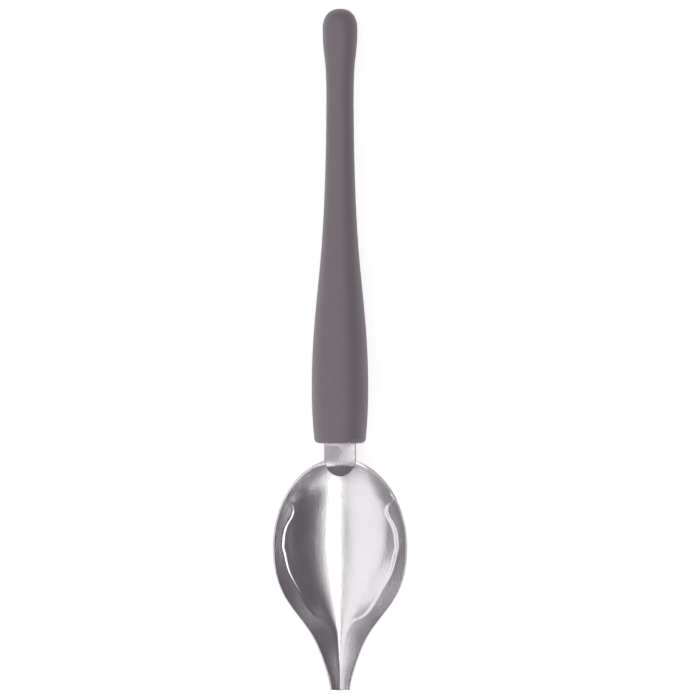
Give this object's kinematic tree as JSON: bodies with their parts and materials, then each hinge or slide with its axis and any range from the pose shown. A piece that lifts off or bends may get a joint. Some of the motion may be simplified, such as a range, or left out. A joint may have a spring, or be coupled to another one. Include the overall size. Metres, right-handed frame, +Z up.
{
  "type": "drizzle spoon",
  "caption": "Drizzle spoon: a teardrop stainless bowl that narrows to an open pouring spout, on a flat welded neck, with a waisted soft-touch grip ending in a rounded butt.",
  "frame": {"origin": "on the table, under the middle of the spoon's length and width, with the spoon lying at rest on its bowl and butt", "axes": "+Z up out of the open bowl, +Y along the spoon towards the butt of the grip, -Y towards the spout, X across"},
  "size_m": [0.0432, 0.2188, 0.0193],
  "materials": {
    "bowl_steel": "satin polished stainless sheet with faint forming and wipe marks",
    "strap_steel": "satin stainless strip with bright sheared edges",
    "core_plastic": "dark grey moulded plastic",
    "soft_skin": "taupe grey soft-touch skin, fine matt grain"
  },
  "bodies": {
    "root": {"bowl": "bowl_steel", "neck_tang": "strap_steel", "grip_core": "core_plastic", "grip_skin": "soft_skin"}
  },
  "joints": []
}
